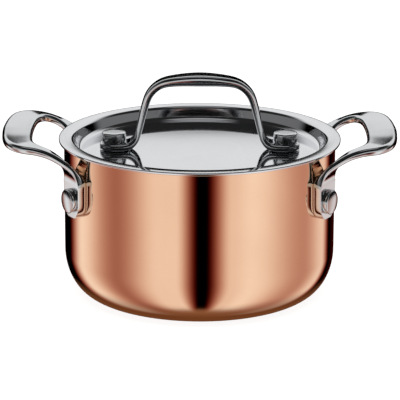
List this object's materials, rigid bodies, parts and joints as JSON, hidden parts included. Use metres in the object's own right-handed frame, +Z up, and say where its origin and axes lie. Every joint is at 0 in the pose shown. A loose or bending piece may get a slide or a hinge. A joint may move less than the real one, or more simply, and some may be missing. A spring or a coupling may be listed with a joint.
{
  "type": "small two-handled casserole with lid",
  "caption": "Small round cooking pot with copper outside, riveted steel loop handles at the sides, and a recessed steel lid with a riveted bow handle that lifts off.",
  "frame": {"origin": "centre of the pot's flat base, on the surface it stands on", "axes": "+Z up along the pot's axis; +X through the middles of both side handles, with the lid's handle along X; +Y to the back"},
  "size_m": [0.1532, 0.1096, 0.0869],
  "materials": {
    "copper": null,
    "aluminium_core": "bonded core layer, seen only as a line at the rim",
    "steel_lining": "satin stainless lining",
    "handle_steel": "polished cast stainless steel",
    "rivet_steel": "polished stainless steel",
    "lid_steel": "mirror-polished stainless sheet"
  },
  "bodies": {
    "pot": {"copper_shell": "copper", "aluminium_core": "aluminium_core", "steel_lining": "steel_lining", "side_handle_right": "handle_steel", "side_handle_left": "handle_steel", "handle_rivet_right_front": "rivet_steel", "handle_rivet_right_rear": "rivet_steel", "handle_rivet_left_rear": "rivet_steel", "handle_rivet_left_front": "rivet_steel"},
    "lid": {"lid_plate": "lid_steel", "lid_handle": "handle_steel", "lid_rivet_left": "rivet_steel", "lid_rivet_right": "rivet_steel"}
  },
  "joints": [
    {"name": "lid_lift", "type": "slide", "parent": "pot", "child": "lid", "axis": [0, 0, 1], "range_m": [0, 0.1]}
  ]
}
